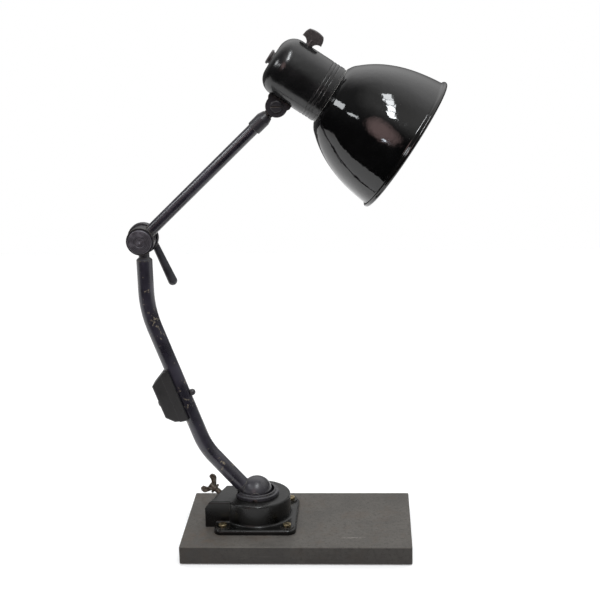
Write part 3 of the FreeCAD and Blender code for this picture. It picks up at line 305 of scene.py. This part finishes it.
def painted(name, colour, under, rough=0.4, grain=0.00003, grain_size=900.0, chip_level=0.68, edge_wear=0.5,
            rounding=0.0004, spread=0.5, gloss=0.0, index=1.5):
    """Worn paint: tone drifts, grain, small chips down to what lies under it, rubbed edges."""
    skin = Finish(name, Coat_Weight=gloss, Coat_Roughness=0.12, IOR=index)
    drift = skin.noise(38.0, 4.0)
    fine = skin.noise(grain_size, 3.0)
    tone = skin.mix(skin.ramp(drift, 0.35, 0.7), lift(colour, 1 - spread * 0.6), lift(colour, 1 + spread))
    dust = skin.ramp(skin.noise(260.0, 5.0, 0.7), 0.56, 0.78, 0.0, 0.25)
    tone = skin.mix(dust, tone, lift(colour, 3.2))
    chips = skin.ramp(skin.noise(155.0, 5.0, 0.68, 0.4), chip_level, chip_level + 0.015)
    worn = skin.math("MULTIPLY", skin.edge(0.0009),
                     skin.ramp(skin.noise(420.0, 4.0), 0.42, 0.62, 0.0, 9.0 * edge_wear))
    bare = skin.math("MINIMUM", skin.math("ADD", chips, worn), 1.0)
    tone = skin.mix(bare, tone, under)
    roughness = skin.math("ADD", skin.ramp(drift, 0.3, 0.75, rough - 0.07, rough + 0.09),
                          skin.math("MULTIPLY", bare, 0.2))
    height = skin.math("SUBTRACT", skin.math("MULTIPLY", fine, 0.6), skin.math("MULTIPLY", chips, 2.0))
    return skin.wire(tone, roughness, None, skin.bump(height, grain, rounding=rounding))


def enamelled(name, colour, rough=0.05, wear_and_glint=(0.09, 0.05, 0.03), edge_wear=0.35):
    """Gloss stove enamel: faint orange peel, dust, pinholes and rubbed edges, brown by default; the housing's
    light grey rubbed edges are partly wear and partly a painted highlight along its grooves.
    """
    skin = Finish(name, IOR=1.52)
    peel = skin.noise(210.0, 2.0, 0.4)
    wide = skin.noise(24.0, 3.0)
    haze = skin.ramp(skin.noise(48.0, 6.0, 0.7), 0.42, 0.75)
    speck = skin.ramp(skin.noise(620.0, 2.0, 0.6), 0.73, 0.78)
    # Rubbed edges: wear; on the housing, whose rubbed edges are light grey, also a painted highlight along
    # the grooves.
    rubbed_and_glint = skin.math("MULTIPLY", skin.edge(0.0012),
                       skin.ramp(skin.noise(300.0, 4.0), 0.4, 0.62, 0.0, 10 * edge_wear))
    rubbed_and_glint = skin.math("MINIMUM", rubbed_and_glint, 0.8)
    tone = skin.mix(haze, lift(colour, 0.75), lift(colour, 1.5))
    tone = skin.mix(speck, tone, lift(colour, 7.0))
    tone = skin.mix(rubbed_and_glint, tone, wear_and_glint)
    roughness = skin.math("ADD", skin.ramp(haze, 0.0, 1.0, rough, rough + 0.07),
                          skin.math("MULTIPLY", skin.math("ADD", rubbed_and_glint, speck), 0.3))
    height = skin.math("ADD", skin.math("MULTIPLY", peel, 0.25), wide)
    return skin.wire(tone, roughness, None, skin.bump(height, 0.00035))


def metal(name, colour, rough=0.3, tarnish=None, turned_marks=True, spread=0.4):
    """Bare or plated metal with tarnish and fine machining marks."""
    skin = Finish(name, Metallic=1.0)
    tarnish = tarnish or lift(colour, 0.35)
    patch = skin.ramp(skin.noise(220.0, 5.0, 0.65), 0.4, 0.68)
    tone = skin.mix(patch, colour, tarnish)
    marks = skin.noise(1400.0, 2.0, vector=skin.scaled((1.0, 0.2, 0.2) if turned_marks else (1, 1, 1)))
    roughness = skin.ramp(patch, 0.0, 1.0, rough, rough + spread)
    return skin.wire(tone, roughness, None, skin.bump(marks, 0.00002, rounding=0.0003))


def ringed(name, colour, centre):
    """Half-bare turned cap: fine rings round an axis along Y, blotched with old paint."""
    skin = Finish(name, Metallic=0.45)
    shifted = skin.nodes.new("ShaderNodeVectorMath")
    shifted.operation = "SUBTRACT"
    skin.put(shifted.inputs[0], skin.place)
    shifted.inputs[1].default_value = tuple(centre)
    rings = skin.nodes.new("ShaderNodeTexWave")
    rings.wave_type, rings.rings_direction = "RINGS", "Y"
    skin.put(rings.inputs["Vector"], shifted.outputs["Vector"])
    for title, value in (("Scale", 190.0), ("Distortion", 1.2), ("Detail", 2.0)):
        rings.inputs[title].default_value = value
    blotch = skin.ramp(skin.noise(170.0, 5.0, 0.65), 0.42, 0.66)
    tone = skin.mix(blotch, lift(colour, 0.6), lift(colour, 1.5))
    tone = skin.mix(skin.math("MULTIPLY", rings.outputs["Fac"], 0.35), tone, lift(colour, 2.2))
    return skin.wire(tone, skin.ramp(blotch, 0.0, 1.0, 0.38, 0.5), None,
                     skin.bump(rings.outputs["Fac"], 0.00004, rounding=0.0004))


def moulded(name, colour, rough=0.35, fleck=2.2):
    """Pressed plastic with flecks of filler, dulled unevenly."""
    skin = Finish(name, IOR=1.55)
    fleck_map = skin.ramp(skin.noise(700.0, 4.0, 0.7), 0.52, 0.7)
    dull = skin.noise(60.0, 5.0, 0.65)
    tone = skin.mix(fleck_map, colour, lift(colour, fleck))
    tone = skin.mix(skin.ramp(dull, 0.5, 0.8, 0.0, 0.4), tone, lift(colour, 3.0))
    worn = skin.math("MINIMUM", skin.math("MULTIPLY", skin.edge(0.001), 2.5), 0.5)
    tone = skin.mix(worn, tone, lift(colour, 5.0))
    return skin.wire(tone, skin.ramp(dull, 0.3, 0.75, rough - 0.08, rough + 0.16), None,
                     skin.bump(skin.noise(900.0, 3.0), 0.00003, rounding=0.0005))


def dress(node, material):
    """Give a CAD node its finish."""
    mesh = frame["nodes"][node].data
    mesh.materials.clear()
    mesh.materials.append(material)


# ---------------------------------------------------------------- lamp head
# bead: shift of its centre from the mouth, clearance of the sheet as a share of its radius,
# the angles it turns between, its steps, and the step where the lining starts
BEAD_SHIFT, BEAD_CLEAR, BEAD_STEPS, BEAD_LINED = 0.1 * MM, 1.06, 30, 22
BEAD_TURN = (math.radians(164), math.radians(-142))
# sleeve in the housing, as millimetres past the seam and radius
SLEEVE = ((1.0, 28.55), (-8.0, 28.55), (-8.0, 29.55), (0.0, 29.55))
# the bell's curve, as shares of its reach and of its depth
BELL = ((0, 0), (0.13, 0.035), (0.277, 0.103), (0.5, 0.235), (0.716, 0.42), (0.855, 0.6), (0.945, 0.79),
        (1.0, 0.975))
BELL_STEPS, BELL_SEGMENTS = 90, 160


def bell_profile(settings):
    """Closed profile of the spun bell as (along, radius) rows, and a mark on the rows of its inside.

    Neck, three easy curves and a rolled bead outside; then back along the sheet's inner side to the
    sleeve that fits in the housing.
    """
    reach = settings.mouth - settings.neck
    shape = np.array(BELL)
    skin = smooth_line(np.stack([settings.seam + shape[:, 1] * settings.depth,
                                 settings.neck + shape[:, 0] * reach], 1), BELL_STEPS)
    slope = np.gradient(skin, axis=0)
    slope /= np.linalg.norm(slope, axis=1)[:, None]
    inside = skin - settings.wall * np.stack([-slope[:, 1], slope[:, 0]], 1)
    bead = np.array([settings.seam + settings.depth - settings.rim, settings.mouth + BEAD_SHIFT])
    clear = BEAD_CLEAR * settings.rim
    skin = skin[np.linalg.norm(skin - bead, axis=1) > clear]
    inside = inside[np.linalg.norm(inside - bead, axis=1) > clear][::-1]
    turn = np.linspace(*BEAD_TURN, BEAD_STEPS)
    roll = bead + settings.rim * np.stack([np.cos(turn), np.sin(turn)], 1)
    sleeve = np.array(SLEEVE) * MM
    sleeve[:, 0] += settings.seam
    rows = np.concatenate([skin, roll, inside, sleeve])
    lined = np.arange(len(rows)) >= len(skin) + BEAD_LINED
    return rows, lined


def bell_dents(settings, angle, along):
    """Depth of the shallow dents: three long waves round the bell, fading to nothing at neck and bead."""
    place = (along - settings.seam) / settings.depth
    fade = np.clip(place / 0.15, 0, 1) * np.clip((0.93 - place) / 0.15, 0, 1)
    waves = (np.sin(3 * angle + 1.1 + 2 * place) + 0.6 * np.sin(5 * angle + 4 * place)
             + 0.35 * np.sin(11 * angle - 7 * place))
    return settings.wave * fade * waves


class DESKLAMP_OT_shade(bpy.types.Operator):
    """Spun bell shade with a rolled rim, gloss black outside and white inside"""
    bl_idname = "desk_lamp.shade"
    bl_label = "Shade"

    def execute(self, context):
        settings = context.scene.desk_lamp_head
        rows, lined = bell_profile(settings)
        bell = turned("shade_bell", rows[:, 0], rows[:, 1], HEAD_BACK, HEAD_AXIS, SIDE, BELL_SEGMENTS,
                      lambda angle, along: bell_dents(settings, angle, along), lined)
        bell.data.materials.append(enamelled("shade_enamel", tuple(settings.enamel)))
        lining = Finish("shade_lining", Coat_Weight=0.3, Coat_Roughness=0.2)
        soot = lining.ramp(lining.noise(45.0, 6.0, 0.7), 0.45, 0.75)
        tone = lining.mix(soot, tuple(settings.lining), lift(tuple(settings.lining), 0.72))
        bell.data.materials.append(lining.wire(tone, 0.42, None, lining.bump(lining.noise(210.0), 0.00008)))
        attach(bell, "head")
        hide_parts("shade")
        return {"FINISHED"}


class DESKLAMP_OT_housing(bpy.types.Operator):
    """Finishes of the socket housing, hinge, key, plug, lampholder and bulb"""
    bl_idname = "desk_lamp.housing"
    bl_label = "Housing and bulb"

    def execute(self, context):
        settings = context.scene.desk_lamp_head
        arms = context.scene.desk_lamp_arms
        # The housing's rubbed edges are light grey: partly wear, partly a painted highlight standing in for
        # the glints along its grooves.
        dress("socket_housing", enamelled("housing_lacquer", tuple(settings.lacquer), 0.2,
                                          (0.1, 0.095, 0.09), 0.5))
        bakelite = moulded("bakelite", tuple(settings.bakelite))
        for node in ("switch_key", "back_plug", "switch_body"):
            dress(node, bakelite)
        hinge_paint = painted("hinge_paint", lift(tuple(arms.joint_paint), 0.65), tuple(arms.primer), 0.36)
        for node in ("head_fork", "hinge_bolt", "hinge_nut", "head_tongue"):
            dress(node, hinge_paint)
        steel = metal("machined_steel", (0.45, 0.44, 0.42))
        for node in ("fork_rivets", "shade_carrier", "tilt_pin", "collar_keeper", "elbow_bolt"):
            dress(node, steel)
        dress("bulb_cap", metal("bulb_cap_metal", (0.72, 0.71, 0.68), 0.25))
        brass = metal("dull_brass", (0.6, 0.42, 0.17), 0.3)
        for node in ("threaded_shell", "centre_contact", "brake_shoe"):
            dress(node, brass)
        glaze = Finish("porcelain", Coat_Weight=0.6, Coat_Roughness=0.08)
        tint = glaze.mix(glaze.noise(90.0, 4.0), (0.74, 0.72, 0.66), (0.86, 0.84, 0.79))
        porcelain = glaze.wire(tint, 0.35, None, glaze.bump(glaze.noise(500.0), 0.00002))
        for node in ("lamp_holder", "terminal_block"):
            dress(node, porcelain)
        pearl = Finish("pearl_glass", Transmission_Weight=0.75, IOR=1.45, Coat_Weight=0.5)
        frost = pearl.noise(160.0, 4.0)
        dress("bulb_glass", pearl.wire(pearl.mix(frost, (0.93, 0.93, 0.9), (0.98, 0.98, 0.96)),
                                       pearl.ramp(frost, 0.3, 0.7, 0.35, 0.5)))
        return {"FINISHED"}


# ---------------------------------------------------------------- arms
class DESKLAMP_OT_arms(bpy.types.Operator):
    """Finishes of both tubes, the elbow, lever, ferrule and terminal box"""
    bl_idname = "desk_lamp.arms"
    bl_label = "Tubes and elbow"

    def execute(self, context):
        settings = context.scene.desk_lamp_arms
        under = tuple(settings.primer)
        dress("lower_tube", painted("lower_tube_paint", tuple(settings.paint), under, 0.32,
                                    chip_level=0.62, gloss=0.3))
        dress("upper_tube", painted("upper_tube_paint", tuple(settings.paint), under, 0.3,
                                    chip_level=0.66, gloss=0.3))
        dress("elbow_cap", ringed("cap_steel", tuple(settings.cap), ELBOW))
        joints = painted("joint_paint", tuple(settings.joint_paint), under, 0.36,
                         chip_level=0.7, edge_wear=0.7)
        for node in ("elbow_lower_disc", "elbow_upper_disc", "clamp_lever", "tube_ferrule",
                     "box_bolt", "box_cap_nut"):
            dress(node, joints)
        dress("elbow_washer", metal("bright_washer", tuple(settings.washer), 0.22))
        box = moulded("box_moulding", tuple(settings.box), 0.5)
        for node in ("terminal_box", "terminal_box_cover"):
            dress(node, box)
        rubber = Finish("rubber")
        dress("cable_grommet", rubber.wire(rubber.mix(rubber.noise(300.0), (0.012, 0.012, 0.012),
                                                      (0.03, 0.03, 0.03)), 0.7, None,
                                           rubber.bump(rubber.noise(1200.0), 0.00004)))
        return {"FINISHED"}


# ---------------------------------------------------------------- base
def slab_finish(settings):
    """Blackened bar: mottled mill scale, long faint scratches, brown stains near the casting, and painted
    shade that darkens its sides.
    """
    skin = Finish("slab_steel", IOR=1.45, Specular_IOR_Level=0.3)
    steel, rust = tuple(settings.steel), tuple(settings.rust)
    mottle = skin.noise(26.0, 6.0, 0.62, 0.3)
    fine = skin.noise(240.0, 5.0, 0.7)
    tone = skin.mix(skin.ramp(mottle, 0.34, 0.68), lift(steel, 0.8), lift(steel, 1.18))
    tone = skin.mix(skin.ramp(fine, 0.45, 0.72, 0.0, 0.8), tone, lift(steel, 0.55))
    pits = skin.ramp(skin.noise(900.0, 4.0, 0.7), 0.5, 0.7, 0.0, 0.6)
    tone = skin.mix(pits, tone, lift(steel, 1.7))
    scratch = skin.noise(60.0, 5.0, 0.75, vector=skin.scaled((0.06, 1.6, 1.0)))
    tone = skin.mix(skin.ramp(scratch, 0.63, 0.7, 0.0, 0.35), tone, lift(steel, 1.7))
    stain = skin.math("MULTIPLY", skin.ramp(skin.noise(34.0, 5.0, 0.7), 0.5, 0.68), 0.3)
    tone = skin.mix(stain, tone, rust)
    near_flange = skin.math("MULTIPLY", skin.spot((-0.1, -0.048, 0.021), 0.05),
                            skin.ramp(skin.noise(90.0, 5.0, 0.7), 0.4, 0.66, 0.0, 0.7))
    tone = skin.mix(near_flange, tone, rust)
    rub = skin.math("MULTIPLY", skin.spot((0.062, -0.047, 0.021), 0.022, (1, 9, 1)),
                    skin.ramp(skin.noise(700.0, 3.0), 0.4, 0.6))
    tone = skin.mix(rub, tone, lift(steel, 2.4))
    # Painted shade: faces that lean away from up, the slab's sides, are darkened almost to black, as if light
    # came only from above.
    split = skin.nodes.new("ShaderNodeSeparateXYZ")
    skin.put(split.inputs[0], skin.nodes.new("ShaderNodeNewGeometry").outputs["True Normal"])
    tone = skin.mix(skin.ramp(split.outputs["Z"], 0.3, 0.8, 0.62, 0.0), tone, lift(steel, 0.06))
    worn = skin.math("MINIMUM", skin.math("MULTIPLY", skin.edge(0.0014), 1.6), 0.45)
    tone = skin.mix(worn, tone, lift(steel, 1.9))
    height = skin.math("ADD", skin.math("MULTIPLY", fine, 0.5), mottle)
    return skin.wire(tone, skin.ramp(mottle, 0.3, 0.7, 0.5, 0.64), None,
                     skin.bump(height, 0.0001, rounding=0.0009))


class DESKLAMP_OT_base(bpy.types.Operator):
    """Finishes of the slab, felt, casting, swivel, knuckle and screws"""
    bl_idname = "desk_lamp.base"
    bl_label = "Base"

    def execute(self, context):
        settings = context.scene.desk_lamp_base
        arms = context.scene.desk_lamp_arms
        dress("base_slab", slab_finish(settings))
        iron = painted("casting_paint", tuple(settings.casting), (0.11, 0.1, 0.085), 0.3, grain=0.00022,
                       grain_size=420.0, chip_level=0.72, edge_wear=0.6, rounding=0.0009,
                       gloss=0.15, index=1.36)
        dress("bracket_housing", iron)
        knuckle = painted("knuckle_paint", lift(tuple(arms.joint_paint), 0.95), (0.16, 0.15, 0.12), 0.3,
                          grain=0.00008, chip_level=0.7, edge_wear=0.5)
        for node in ("swivel_collar", "ball_knuckle"):
            dress(node, knuckle)
        dress("bracket_screws", metal("screw_plating", tuple(settings.screws), 0.3, (0.06, 0.05, 0.035)))
        dress("wing_screw", metal("browned_steel", tuple(settings.wing), 0.42, (0.05, 0.035, 0.025)))
        felt = Finish("felt_wool", Sheen_Weight=0.6)
        fibre = felt.noise(1500.0, 4.0, 0.8)
        wool = tuple(settings.felt)
        dress("felt_pad", felt.wire(felt.mix(fibre, lift(wool, 0.6), lift(wool, 1.8)),
                                    0.95, None, felt.bump(fibre, 0.0003)))
        return {"FINISHED"}


# ---------------------------------------------------------------- stage
def surround(settings):
    """Studio surround: bright overhead and behind, dim in front, with soft glows in a few directions.

    It is plain white where it is seen directly.
    """
    world = bpy.data.worlds.new("surround")
    world.use_nodes = True
    nodes, links = world.node_tree.nodes, world.node_tree.links
    back = nodes["Background"]
    way = nodes.new("ShaderNodeTexCoord").outputs["Generated"]
    split = nodes.new("ShaderNodeSeparateXYZ")
    links.new(way, split.inputs[0])

    def step(source, low, high, to_low, to_high):
        node = nodes.new("ShaderNodeMapRange")
        node.interpolation_type = "SMOOTHSTEP"
        links.new(source, node.inputs["Value"])
        for title, value in (("From Min", low), ("From Max", high), ("To Min", to_low), ("To Max", to_high)):
            node.inputs[title].default_value = value
        return node.outputs["Result"]

    def combine(operation, first, second):
        node = nodes.new("ShaderNodeMath")
        node.operation = operation
        links.new(first, node.inputs[0])
        links.new(second, node.inputs[1])
        return node.outputs["Value"]

    def vector_pair(operation, first, second):
        node = nodes.new("ShaderNodeVectorMath")
        node.operation = operation
        for socket, value in zip(node.inputs, (first, second)):
            if isinstance(value, bpy.types.NodeSocket):
                links.new(value, socket)
            else:
                socket.default_value = tuple(value)
        return node.outputs["Value" if operation == "DOT_PRODUCT" else "Vector"]

    def facing(heading):
        return vector_pair("DOT_PRODUCT", way, heading)

    def tint(strength, colour):
        return vector_pair("MULTIPLY", strength, colour)

    height = step(split.outputs["Z"], 0.0, 0.9, 0.06 * settings.sky, settings.sky)
    behind = step(facing((0.55, 0.83, 0.0)), -0.4, 0.45, 0.1, 1.0)
    total = tint(combine("MULTIPLY", height, behind), (1, 1, 1))
    for azimuth, elevation, low, high, strength, colour in GLOWS:
        lobe = step(facing(direction(azimuth, elevation)), low, high, 0.0, strength)
        total = vector_pair("ADD", total, tint(lobe, colour))
    seen = nodes.new("ShaderNodeMix")
    seen.data_type = "RGBA"
    links.new(nodes.new("ShaderNodeLightPath").outputs["Is Camera Ray"], seen.inputs["Factor"])
    links.new(total, seen.inputs[6])
    seen.inputs[7].default_value = (1, 1, 1, 1)
    links.new(seen.outputs[2], back.inputs["Color"])
    return world


def direction(azimuth, elevation):
    """Unit vector: azimuth in degrees to the right of the viewer, elevation up."""
    turn, rise = math.radians(azimuth), math.radians(elevation)
    return np.array([math.sin(turn) * math.cos(rise), -math.cos(turn) * math.cos(rise), math.sin(rise)])


DAYLIGHT = (0.95, 0.98, 1.0)
# azimuth, elevation, cosines where it starts and is full, strength, colour
GLOWS = ((4, 58, 0.78, 1.0, 0.42, (1.0, 1.0, 0.97)), (-19, 17, 0.955, 0.998, 2.0, (1.0, 0.7, 0.68)),
         (32, 28, 0.84, 1.0, 0.3, (1.0, 1.0, 0.97)))


def window_light(name, target, azimuth, elevation, distance, width, height, radiance, colour):
    """Rectangular light of a given radiance, in a direction from the point it is aimed at.

    Its power is radiance times pi times its area.
    """
    lamp = bpy.data.lights.new(name, "AREA")
    lamp.shape = "RECTANGLE"
    lamp.size, lamp.size_y = width, height
    lamp.energy = radiance * math.pi * width * height
    lamp.color = colour
    made = bpy.data.objects.new(name, lamp)
    place = np.array(target) + distance * direction(azimuth, elevation)
    aim = Vector(target) - Vector(place)
    made.matrix_world = Matrix.Translation(Vector(place)) @ aim.to_track_quat("-Z", "Y").to_matrix().to_4x4()
    bpy.context.scene.collection.objects.link(made)
    return made


class DESKLAMP_OT_stage(bpy.types.Operator):
    """Camera, soft lights, pale floor and surround"""
    bl_idname = "desk_lamp.stage"
    bl_label = "Stage"

    def execute(self, context):
        settings = context.scene.desk_lamp_stage
        scene = context.scene
        camera = bpy.data.cameras.new("camera")
        camera.lens, camera.sensor_width = settings.lens, 36.0
        seen = bpy.data.objects.new("camera", camera)
        right = Vector((0.99831, 0.05293, -0.02408))
        down = Vector((-0.00917, -0.26553, -0.96406))
        forward = right.cross(-down).normalized() * -1
        turn = Matrix((right, -down, -forward)).transposed()
        seen.matrix_world = Matrix.Translation(Vector(settings.place)) @ turn.to_4x4()
        scene.collection.objects.link(seen)
        scene.camera = seen
        near, far, side = -0.3, 1.4, 3.0
        corners = np.array([(-side, near, 0), (side, near, 0), (side, far, 0), (-side, far, 0)])
        floor = piece("floor", corners, [(0, 1, 2, 3)])
        ground = Finish("floor_paper", Roughness=0.9, Emission_Color=(1, 1, 1, 1), Emission_Strength=0.15)
        grain = ground.noise(3.0, 2.0)
        ground.wire(ground.mix(grain, tuple(settings.floor), lift(tuple(settings.floor), 1.02)))
        floor.data.materials.append(ground.material)
        scene.world = surround(settings)
        scene.view_settings.view_transform = "Standard"
        shade = (0.1, -0.05, 0.47)
        for step in range(4):
            window_light(f"window_pane_{step}", shade, 3.0 * step, 42 + 9.4 * step, 2.2, 0.3, 0.33,
                         30 - 5 * step, DAYLIGHT)
        for step in range(2):
            window_light(f"side_window_{step}", shade, -76 + 25 * step, 30 - 6 * step, 2.2, 0.6,
                         0.36 - 0.2 * step, 10, DAYLIGHT)
        window_light("small_lamp", shade, -19, 5, 2.2, 0.09, 0.08, 16, (0.8, 0.9, 1.0))
        return {"FINISHED"}


class DESKLAMP_PT_panel(bpy.types.Panel):
    """Sidebar panel with one button for each piece"""
    bl_idname = "DESKLAMP_PT_panel"
    bl_label = "Desk Lamp"
    bl_space_type = "VIEW_3D"
    bl_region_type = "UI"
    bl_category = "Desk Lamp"

    def draw(self, context):
        for operator in OPERATORS:
            self.layout.operator(operator.bl_idname)


OPERATORS = (DESKLAMP_OT_base, DESKLAMP_OT_arms, DESKLAMP_OT_housing, DESKLAMP_OT_shade, DESKLAMP_OT_stage)
GROUPS = {"desk_lamp_head": DeskLampHead, "desk_lamp_arms": DeskLampArms, "desk_lamp_base": DeskLampBase,
          "desk_lamp_stage": DeskLampStage}


def register():
    for group in (*GROUPS.values(), *OPERATORS, DESKLAMP_PT_panel):
        bpy.utils.register_class(group)
    for name, group in GROUPS.items():
        setattr(bpy.types.Scene, name, PointerProperty(type=group))


def unregister():
    for name in GROUPS:
        delattr(bpy.types.Scene, name)
    for group in reversed((*GROUPS.values(), *OPERATORS, DESKLAMP_PT_panel)):
        bpy.utils.unregister_class(group)


def main():
    """Build every piece."""
    register()
    for operator in OPERATORS:
        group, name = operator.bl_idname.split(".")
        getattr(getattr(bpy.ops, group), name)()


if __name__ == "__main__":
    main()
